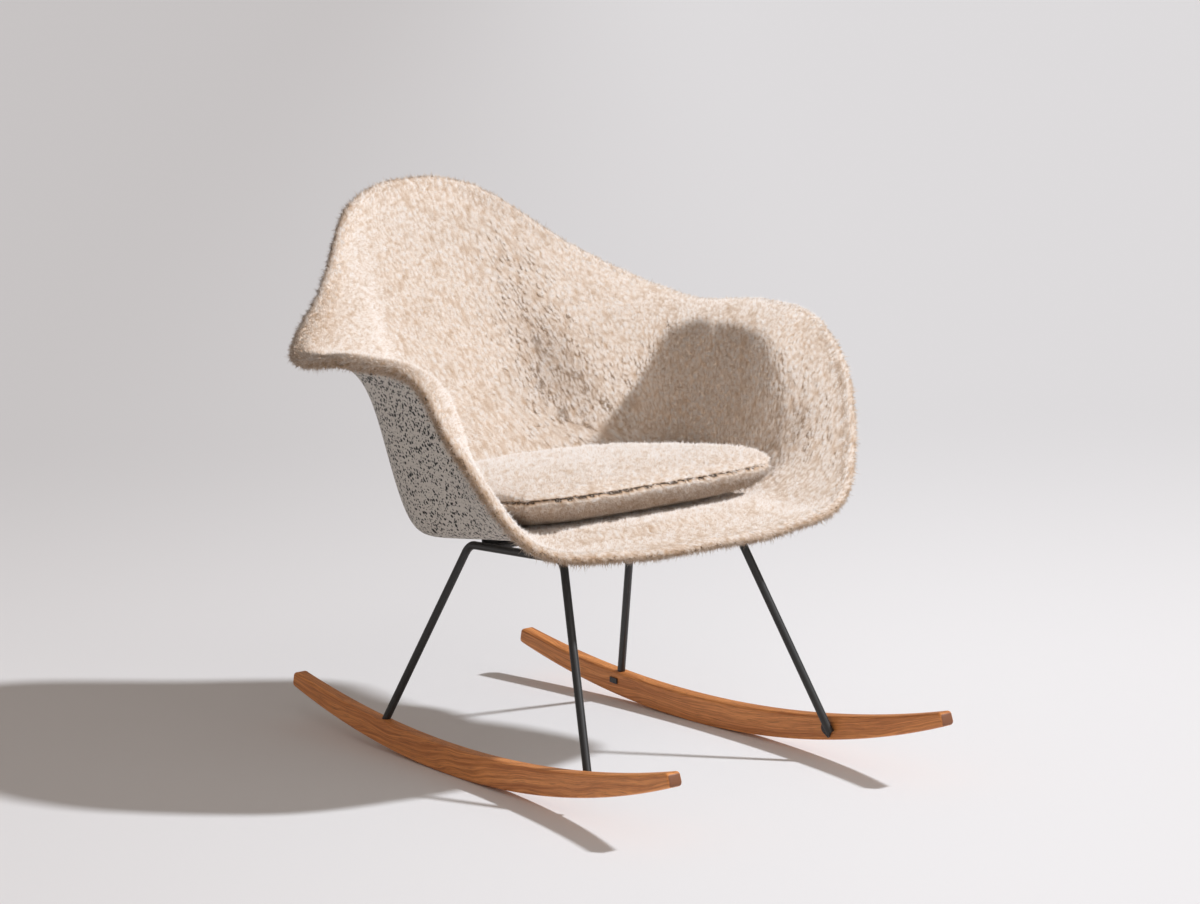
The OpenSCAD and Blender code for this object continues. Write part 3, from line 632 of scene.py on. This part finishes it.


# beside its place, each point has how far the pile may rise (lifts), how thick the fibres stand
# (weights), how much painted shade darkens them where they turn from the key light or lie under
# the roll, and how far their shading is turned forward (turned)
def coverRing(share, kind, n):
    turn, at = np.arange(n) / n, np.full(n, share)
    run = share * np.interp(turn * table["columns"], np.arange(table["columns"] + 1),
                            np.append(lengthTable, lengthTable[0]))
    if kind == "under":
        run = run + cover["underRun"]
    elif kind is not None:
        run = run + cover["rollRun"] * (math.pi / 2 - kind)
    angle = 2 * math.pi * turn + pile["slant"] * run / pile["roundR"]
    coords = np.stack([pile["roundR"] * np.cos(angle), pile["roundR"] * np.sin(angle),
                       run * pile["across"] / pile["along"]], 1)
    mid, normal = readTable(midTable, turn, at), unit(readTable(normalTable, turn, at))
    out = unit(readTable(onwardTable, turn, at))
    if kind == "under":
        # the underside behind the foam is given full painted shade
        return {"points": mid + normal * layer["foamLow"], "normals": -normal, "naps": out,
                "coords": coords, "lifts": np.zeros(n), "weights": np.zeros(n), "paintedShades": np.ones(n),
                "turned": np.zeros(n)}
    edge = ease(share, *cover["edge"])
    turned = np.full(n, fuzz["frontShare"] * (1 - cover["edgeTurned"] * edge))
    if kind is None:
        # painted shade: near the rim the pile darkens where the rim's outward way turns from the
        # key light
        edgeShadeShare = pile["edgeShade"] * ease(share, *cover["shade"])
        weight = cover["sparse"] + (1 - cover["sparse"]) * ease(share, *cover["thin"])
        return {"points": mid + normal * layer["coverHigh"],
                "normals": unit(normal + out * edge * pile["edgeTilt"]),
                "naps": napOf(normal, out * ease(share, *cover["outward"])),
                "coords": coords, "lifts": np.full(n, min(1, share / cover["quietTo"])),
                "weights": np.full(n, weight), "paintedShades": edgeShadeShare * awayFromKey(out), "turned": turned}
    wide, high = shell["roll"], layer["coverHigh"]
    across, rise = math.cos(kind), math.sin(kind)
    tilt = pile["edgeTilt"] * max(0.0, rise)
    # painted shade: the roll darkens towards its underside
    darker = smoothstep(cover["rollPaintedShade"] - cover["rollPaintedShade"] * rise)
    lift = min(1, cover["rollLift"] * math.cos((kind - math.pi / 2) / 2))
    return {"points": mid + out * wide * across + normal * high * rise,
            "normals": unit(out * (high * across + wide * tilt) + normal * wide * rise),
            "naps": unit(out * rise - normal * across),
            "coords": coords, "lifts": np.full(n, lift), "weights": np.full(n, cover["thick"]),
            "paintedShades": np.maximum(darker, pile["edgeShade"] * awayFromKey(out)), "turned": turned}


def makeCover():
    stops = coverStops()
    wanted = [columnsFor(perimeterAt(share)) if kind != "under" or share > cover["underFine"]
              else cover["columns"][0] for share, kind in stops]
    counts = stepCounts(wanted)
    rings = [coverRing(share, kind, n) for (share, kind), n in zip(stops, counts)]
    skin = {key: np.concatenate([ring[key] for ring in rings]) for key in rings[0]}
    skin["faces"] = faces = [face[::-1] for face in joinRings(counts, True, True)]
    prepareSkin(skin, fuzz["seed"])
    heights, swells = pileHeights(skin)
    rise = pile["depth"] * heights - pile["sunk"] + pile["swellDepth"] * swells
    skin["points"] = skin["points"] + skin["normals"] * (rise * skin["lifts"])[:, None]
    centres = [panMid + panUp * layer["coverHigh"], panMid + panUp * layer["foamLow"]]
    points = np.concatenate([skin["points"], centres])
    obj = makePiece("coverCloth", points, faces, clothMat)
    # painted shade: the low pile is coloured tan, darker still where painted shade is laid on
    low, gain = cover["tone"]
    tones = np.where(skin["lifts"] > 0, low + gain * heights, pile["middleTones"][1])
    setPileShadeTone(obj, np.concatenate([tones - cover["paintedShadeTone"] * skin["paintedShades"], pile["middleTones"]]))
    softenCloth(obj, skin["turned"])
    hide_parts("inner_cover", "edge_roll")
    print("cover made,", len(points), "points,", len(faces), "faces")
    return skin


coverSkin = makeCover()


# the strip along the rim has no specks, in millimetres from it
layerMesh = {"columns": 512, "rows": 150, "innerRows": 24, "start": 0.02, "innerFrom": 0.03,
             "bareStrip": (9, 14), "sharpFrom": 50, "foamGap": 0.3, "foamTo": 0.985}


def makeLayer(name, low, high, last, material, replaced):
    n, inner = layerMesh["columns"], layerMesh["innerFrom"]
    stops = [(share, low) for share in np.linspace(layerMesh["start"], last, layerMesh["rows"])]
    stops += [(last, high)]
    stops += [(share, high) for share in np.linspace(last - inner, inner, layerMesh["innerRows"])]
    turn = np.arange(n) / n
    rings = []
    for share, off in stops:
        at = np.full(n, share)
        rings.append(readTable(midTable, turn, at) + unit(readTable(normalTable, turn, at)) * off)
    points = np.concatenate(rings + [[panMid + panUp * low, panMid + panUp * high]])
    obj = makePiece(name, points, joinRings([n] * len(stops), True, True), material)
    obj.data.set_sharp_from_angle(angle=math.radians(layerMesh["sharpFrom"]))
    long = np.interp(turn, np.arange(table["columns"]) / table["columns"], lengthTable)
    amounts = [ease((1 - share) * long, *layerMesh["bareStrip"]) for share, _ in stops]
    setAttribute(obj, "speckAmount", np.concatenate(amounts + [[1.0, 1.0]]))
    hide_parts(replaced)
    print(name, "made")


makeLayer("shellMoulding", layer["shellLow"], layer["shellHigh"], 1.0,
          speckledMat, "shell")
makeLayer("foamLayer", layer["foamLow"] + layerMesh["foamGap"], layer["foamLow"] + layer["foam"],
          layerMesh["foamTo"], foamMat, "shell_foam")

# its outline, heights, mesh, seam and pile; "bare" is the middle of the underside, from the seam
cushion = {"side": 214.0, "front": 240.0, "back": 168.0, "sharpFront": 3.4, "sharpBack": 2.6,
           "drawIn": 5.0, "seamH": 38.0, "crownH": 70.0, "crownEdge": 3, "crownRound": 0.48,
           "gap": 0.6, "wallGap": 3.5, "wallBlend": 10, "liftFrom": 0.57, "liftBend": 1.9,
           "columns": [64, 128, 256, 512], "spacing": 2.3, "start": 0.04, "fineFrom": 0.9,
           "fineRows": 15, "fineBend": 1.6, "seamDepth": 5.0, "seamWidth": 3.3, "seamRagged": 0.8,
           "raggedSize": 4, "seamDark": 0.38, "seamSharp": 7, "seamThin": 0.85, "bare": (36, 12),
           "topPaintedShade": 0.1, "sidePaintedShade": 0.2, "lowPaintedShade": 0.5, "lowFrom": 30, "turned": 0.7,
           "tone": (0.2, 0.72), "lockShift": 2000, "lockFlat": 0.7, "forward": -0.6, "seed": 50}


def coverLines():
    skin = midTable + normalTable * layer["coverHigh"]
    return np.hypot(skin[:, :, 0], skin[:, :, 1] - pan["y"]), skin[:, :, 2]


coverR, coverZ = coverLines()


def panTop(away, r):
    return pan["height"] + layer["coverHigh"] / math.cos(panSlope) - panTan * away[:, 1] * r


def cushionReach():
    free = oval(awayTable, cushion["side"], cushion["front"], cushion["back"],
                cushion["sharpFront"], cushion["sharpBack"])
    free -= cushion["drawIn"] * np.abs(awayTable[:, 0]**2 - awayTable[:, 1]**2)
    level = panTop(awayTable, free) + cushion["seamH"]
    walls = np.full(len(free), 10 * cushion["front"])
    for k in range(len(free)):
        above = np.nonzero(coverZ[k] >= level[k])[0]
        above = above[above > 0]
        if len(above):
            j = above[0] - 1
            share = (level[k] - coverZ[k, j]) / (coverZ[k, j + 1] - coverZ[k, j])
            walls[k] = coverR[k, j] + (coverR[k, j + 1] - coverR[k, j]) * share
    walls -= cushion["wallGap"]
    bend = cushion["wallBlend"]
    return (free**-bend + walls**-bend) ** (-1 / bend)


reachTable = cushionReach()


def cushionRing(k, u, isTop):
    away, reach = awayTable[k], reachTable[k]
    r = u * reach
    seam = panTop(away, r) + cushion["seamH"]
    if isTop:
        crown = (1 - u ** cushion["crownEdge"]) ** cushion["crownRound"]
        z = seam + (cushion["crownH"] - cushion["seamH"]) * crown
    else:
        restZ = np.array([np.interp(x, coverR[i], coverZ[i]) for i, x in zip(k, r)])
        restZ = restZ + cushion["gap"]
        risen = np.clip((u - cushion["liftFrom"]) / (1 - cushion["liftFrom"]), 0, 1)
        lift = 1 - np.sqrt(max(0.0, 1 - risen ** cushion["liftBend"]))
        z = restZ + (seam - restZ) * lift
    return np.stack([away[:, 0] * r, pan["y"] + away[:, 1] * r, z], 1)


# rings from the middle of the top over the seam to the middle of the underside
def cushionStops(reach):
    first, fine = cushion["start"], cushion["fineFrom"]
    rows = int((fine - first) * reach / cushion["spacing"])
    left = (1 - np.linspace(0, 1, cushion["fineRows"] + 1)[1:]) ** cushion["fineBend"]
    inward = np.concatenate([np.linspace(first, fine, rows), 1 - (1 - fine) * left])
    return [(u, True) for u in inward] + [(u, False) for u in inward[-2::-1]]


def formNormals(points, faces, count):
    mesh = bpy.data.meshes.new("cushionForm")
    mesh.from_pydata(points.tolist(), [], faces)
    mesh.update()
    normals = np.empty(len(mesh.vertices) * 3)
    mesh.vertices.foreach_get("normal", normals)
    bpy.data.meshes.remove(mesh)
    return normals.reshape(-1, 3)[:count]


def distanceFromSeam(base, stops, counts):
    starts = np.concatenate([[0], np.cumsum(counts)])
    ring = int(np.argmax([u for u, _ in stops]))
    seam = base[starts[ring]:starts[ring + 1]]
    far = np.empty(len(base))
    for start, n in zip(starts, counts):
        near = seam[np.arange(n) * len(seam) // n]
        far[start:start + n] = np.linalg.norm(base[start:start + n] - near, axis=1)
    return far


def makeCushion():
    reach = reachTable.mean()
    stops = cushionStops(reach)
    girth, choice = 2 * math.pi * reach, cushion["columns"]
    wanted = [next((n for n in choice if girth * u / n <= cushion["spacing"]), choice[-1])
              for u, _ in stops]
    counts = stepCounts(wanted)
    base = np.concatenate([cushionRing((np.arange(n) / n * table["columns"]).astype(int), u, isTop)
                           for (u, isTop), n in zip(stops, counts)])
    faces = [face[::-1] for face in joinRings(counts, True, True)]
    mid = panTop(np.array([[0.0, 1.0, 0.0]]), np.zeros(1))[0]
    centres = np.array([[0, pan["y"], mid + cushion[height]] for height in ("crownH", "gap")])
    normals = formNormals(np.concatenate([base, centres]), faces, len(base))
    fromSeam = distanceFromSeam(base, stops, counts)
    ragged = 1 + cushion["seamRagged"] * noiseAt(base, cushion["raggedSize"])
    crease = np.exp(-(fromSeam / (cushion["seamWidth"] * ragged)) ** 2)
    onTop = np.repeat([1.0 if isTop else 0.0 for _, isTop in stops], counts)
    under = (1 - onTop) * ease(fromSeam, *cushion["bare"])
    # painted shade: the lower panel darkens away from the seam, and the top a little
    side = cushion["sidePaintedShade"] + cushion["lowPaintedShade"] * smoothstep(fromSeam / cushion["lowFrom"])
    forward = np.array([0, cushion["forward"], 0]) * np.ones((len(base), 1))
    skin = {"points": base, "normals": normals, "naps": napOf(normals, forward), "faces": faces,
            "coords": (base + cushion["lockShift"]) * (1, pile["across"] / pile["along"],
                                                       cushion["lockFlat"]),
            "weights": np.clip(1 - cushion["seamThin"] * crease - under, 0, 1),
            "paintedShades": cushion["topPaintedShade"] * onTop + (1 - onTop) * side,
            "turned": onTop * fuzz["frontShare"] * cushion["turned"]}
    prepareSkin(skin, fuzz["seed"] + cushion["seed"])
    heights, swells = pileHeights(skin)
    rise = pile["depth"] * heights - pile["sunk"] + pile["swellDepth"] * swells
    rise = rise * (1 - crease) * (1 - under) - crease * cushion["seamDepth"]
    skin["points"] = base + normals * rise[:, None]
    points = np.concatenate([skin["points"], centres])
    obj = makePiece("seatCushion", points, faces, clothMat, "cushion")
    softenCloth(obj, skin["turned"])
    low, gain = cushion["tone"]
    # painted shade: in the middle of the seam crease the tone falls to the dark seam colour
    shown = 1 - smoothstep(cushion["seamSharp"] * (crease - cushion["seamDark"]))
    setPileShadeTone(obj, np.concatenate([(low + gain * heights) * shown, pile["middleTones"]]))
    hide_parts("cushion_core", "cushion_top", "cushion_bottom")
    print("cushion made,", len(base), "points,", len(faces), "faces")
    return skin


cushionSkin = makeCushion()


# fibres that stand out of the pile, each a slim three-sided spike
def makeFuzz(name, skin, body):
    rng, locks, count = skin["rng"], skin["locks"], fuzz["count"]
    spot, normal, way, coord, paintedShade, turned = spreadRoots(skin, count)
    lock, puff = nearLocks(skin, coord)
    low, gain = fuzz["puffLength"]
    long = rng.uniform(*fuzz["length"], (count, 1)) * (low + gain * puff[:, None])
    long = long * (1 + fuzz["paintedShadeLength"] * paintedShade)
    long = np.where(rng.random((count, 1)) < fuzz["loose"], fuzz["looseLength"], 1) * long
    root = spot - normal * fuzz["sunk"]
    own = spot + unit(way + rng.normal(0, fuzz["stray"], (count, 3))) * long
    gather = fuzz["gather"] * rng.uniform(*fuzz["gatherRange"], (count, 1))
    gather = gather * (1 - fuzz["paintedShadeGather"] * paintedShade)
    way = unit(own * (1 - gather) + locks["tips"][lock] * gather - root)
    side = unit(np.cross(way, rng.normal(0, 1, (count, 3))))
    other = np.cross(way, side)
    rays = [side * math.cos(a) + other * math.sin(a) for a in fuzz["rays"]]
    points = np.stack([root + fuzz["base"] * ray for ray in rays] + [root + way * long], 1)
    first = np.arange(count)[:, None] * 4
    pattern = np.array([[0, 1, 3], [1, 2, 3], [2, 0, 3], [2, 1, 0]])
    faces = (first[:, :, None] + pattern[None]).reshape(-1, 3)
    obj = makePiece(name, points.reshape(-1, 3), faces.tolist(), fibreMat, body)
    even = softened(normal, turned)
    lit = [unit(even * fuzz["soft"] + ray * (1 - fuzz["soft"])) for ray in rays]
    lit = turnToRow(np.stack(lit + [even], 1).reshape(-1, 3))
    obj.data.normals_split_custom_set_from_vertices(lit.tolist())
    obj.visible_shadow = False

    # painted shade: darker at the roots, between the locks and on the side away from the key light
    tone = locks["tone"][lock] + fuzz["puffTone"] * (puff - fuzz["puffMiddle"])
    tone = tone - fuzz["paintedShadeTone"] * paintedShade[:, 0] + rng.normal(0, fuzz["toneSpread"], count)
    shade, tip = (np.clip(fuzz[end] + tone, fuzz["darkest"], 1) for end in ("root", "tip"))
    levels = np.stack([shade, shade, shade, tip], 1).reshape(-1)
    setPileShadeTone(obj, levels)

    # the map places each corner where its own tone is, so a picture baked through it holds the
    # tones
    fibreMap = obj.data.uv_layers.new(name="OFBake")
    across = (np.arange(len(levels)) % 4) * 0.3 + 0.05
    corner = faces.reshape(-1)
    spots = np.stack([across[corner], levels[corner]], 1).reshape(-1)
    fibreMap.data.foreach_set("uv", spots.astype(np.float32))
    print(name, "made")


for k in range(fuzz["coverPieces"]):
    makeFuzz("coverFuzz" + str(k + 1), coverSkin, "chair")
for k in range(fuzz["cushionPieces"]):
    makeFuzz("cushionFuzz" + str(k + 1), cushionSkin, "cushion")

# the rockers, bent from one blank each: an arc below, a flatter arc above, thinner to both ends
rocker = {"inset": 188.0, "shift": -120.0, "turn": 1.6, "half": 412.0, "mid": 35.0, "end": 19.5,
          "thick": 19.0, "round": 3.5, "endRound": 5.0, "endClear": 1.3, "steps": 90, "bends": 6,
          "sharpFrom": 40}


def rockerOutline():
    r, low = rest["arcR"], rest["arcY"] - rocker["shift"]
    bow = (rocker["mid"] - rocker["end"]) / ((2 * rocker["half"]) ** 2 / 8)
    topR = 1 / (1 / r - bow)
    topY = low * topR / r
    sag, topSag = r - math.sqrt(r * r - low * low), topR - math.sqrt(topR**2 - topY**2)
    topLow = rocker["mid"] + sag - topSag
    ends = [math.asin((side * rocker["half"] - low) / r) for side in (-1, 1)]
    angles = np.linspace(*ends, rocker["steps"])

    def below(a):
        return np.array([low + r * math.sin(a), r - r * math.cos(a)])

    # the ends are cut along radii of the running arc
    def above(a):
        way, foot = np.array([-math.sin(a), math.cos(a)]), below(a)
        to = foot - np.array([topY, topLow + topR])
        along = -(to @ way) - math.sqrt((to @ way) ** 2 - to @ to + topR**2)
        return foot + way * along

    return roundCorners([below(a) for a in angles], [above(a) for a in angles])


def roundCorners(lower, upper):
    def corner(before, at, after):
        one, two = unit(before - at), unit(after - at)
        half = math.acos(float(one @ two)) / 2
        r = rocker["endRound"]
        centre = at + unit(one + two) * r / math.sin(half)
        start, stop = at + one * r / math.tan(half), at + two * r / math.tan(half)
        a, b = (math.atan2(*(p - centre)[::-1]) for p in (start, stop))
        b += 2 * math.pi * round((a - b) / (2 * math.pi))
        turns = np.linspace(a, b, rocker["bends"] + 1)
        return [centre + r * np.array([math.cos(t), math.sin(t)]) for t in turns]

    def clear(line):
        room = rocker["endRound"] * rocker["endClear"]
        return [p for p in line if min(np.linalg.norm(p - e) for e in (line[0], line[-1])) > room]

    front, rear = lower[0], lower[-1]
    return np.array(corner(upper[0], front, lower[2]) + clear(lower)
                    + corner(lower[-3], rear, upper[-1]) + corner(rear, upper[-1], upper[-3])
                    + clear(upper)[::-1] + corner(upper[2], upper[0], front))


def makeRocker(name, side, replaced):
    outline = rockerOutline()
    around = np.roll(outline, -1, 0) - np.roll(outline, 1, 0)
    inward = unit(np.stack([-around[:, 1], around[:, 0]], 1))
    bends = np.linspace(0, math.pi / 2, rocker["bends"])
    half, r = rocker["thick"] / 2, rocker["round"]
    rings = [(-half + r * (1 - math.sin(a)), r * (1 - math.cos(a))) for a in bends[::-1]]
    rings += [(-x, inset) for x, inset in rings[::-1]]
    turn = math.radians(rocker["turn"])
    points = []
    for x, inset in rings:
        flat = outline + inward * inset
        px = rocker["inset"] + x * math.cos(turn) - flat[:, 0] * math.sin(turn)
        py = rocker["shift"] + x * math.sin(turn) + flat[:, 0] * math.cos(turn)
        points.append(np.stack([side * px, py, flat[:, 1]], 1))
    n = len(outline)
    faces = joinRings([n] * len(rings), False, False)
    faces += [list(range(n))[::-1], list(range((len(rings) - 1) * n, len(rings) * n))]
    if side > 0:
        faces = [face[::-1] for face in faces]
    obj = makePiece(name, np.concatenate(points), faces, oakMat)
    obj.data.set_sharp_from_angle(angle=math.radians(rocker["sharpFrom"]))
    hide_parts(replaced)
    print(name, "made")


makeRocker("rockerLeft", 1, "rocker_left")
makeRocker("rockerRight", -1, "rocker_right")

# finishes of the solids that stay
finishes = {"shock_mount": rubberMat, "mount_nuts": zincMat}
for name, obj in nodes.items():
    chosen = next((mat for start, mat in finishes.items() if name.startswith(start)), blackMat)
    obj.data.materials.clear()
    obj.data.materials.append(chosen)
print("solids finished")

# floor and light: a cool key light from the right of the picture, a warm sky in the shadows
studio = {"floorHalf": 60.0, "white": 0.885, "grey": 0.73, "tint": (1, 1, 1.01),
          "whiteTo": 0.2, "greyFrom": 2.4, "dimLeft": 0.79, "dimTint": (1, 0.98, 0.965),
          "dimFrom": 0.6, "dimTo": -1.2, "sky": 0.31, "skyColour": (1.0, 0.87, 0.785)}
lamps = {"key": {"strength": 2.85, "height": 45.0, "towardCamera": 12.0, "spread": 3.5,
                 "colour": (0.92, 0.95, 1.0)},
         "fill": {"strength": 0.6, "height": 30.0, "towardCamera": 62.0, "spread": 60.0,
                  "colour": (1.0, 0.97, 0.95)}}


def addFloor():
    mesh = bpy.data.meshes.new("floor")
    half = studio["floorHalf"]
    corners = [(-half, -half, 0), (half, -half, 0), (half, half, 0), (-half, half, 0)]
    mesh.from_pydata(corners, [], [(0, 1, 2, 3)])
    m = Nodes("floor")
    split = m.add("SeparateXYZ", {"Vector": m.place()})

    def along(way):
        return m.math("ADD", m.math("MULTIPLY", split.outputs["X"], way.x),
                      m.math("MULTIPLY", split.outputs["Y"], way.y))

    def between(place, first, last):
        return m.math("DIVIDE", m.math("SUBTRACT", place, first), last - first)

    # painted light: the floor is white near the chair, fades to grey far off and is dimmed to the
    # left
    white, grey = ([studio[shade] * c for c in studio["tint"]] for shade in ("white", "grey"))
    share = between(along(viewAlong), studio["whiteTo"], studio["greyFrom"])
    colour = m.ramp(share, [(0, white), (1, grey)], "EASE")
    left = between(along(viewRight), studio["dimFrom"], studio["dimTo"])
    dim = [studio["dimLeft"] * c for c in studio["dimTint"]]
    dimmer = m.ramp(left, [(0, (1, 1, 1)), (1, dim)], "EASE")
    colour = m.mix(1.0, colour, dimmer, "MULTIPLY")
    mesh.materials.append(m.finish(Base_Color=colour, Roughness=1.0, Specular_IOR_Level=0.0))
    obj = bpy.data.objects.new("floor", mesh)
    bpy.context.collection.objects.link(obj)


def addLights():
    for name, lamp in lamps.items():
        data = bpy.data.lights.new(name, "SUN")
        data.energy = lamp["strength"]
        data.angle = math.radians(lamp["spread"])
        data.color = lamp["colour"]
        obj = bpy.data.objects.new(name, data)
        bpy.context.collection.objects.link(obj)
        turn, height = math.radians(lamp["towardCamera"]), math.radians(lamp["height"])
        level = viewRight * math.cos(turn) - viewAlong * math.sin(turn)
        toLamp = Vector((level.x * math.cos(height), level.y * math.cos(height), math.sin(height)))
        obj.rotation_euler = toLamp.to_track_quat("Z", "Y").to_euler()
    world = bpy.data.worlds.new("studio")
    world.use_nodes = True
    sky = world.node_tree.nodes["Background"]
    sky.inputs["Color"].default_value = (*studio["skyColour"], 1)
    sky.inputs["Strength"].default_value = studio["sky"]
    bpy.context.scene.world = world


addFloor()
addLights()
bpy.context.scene.view_settings.view_transform = "Standard"
print("studio ready")
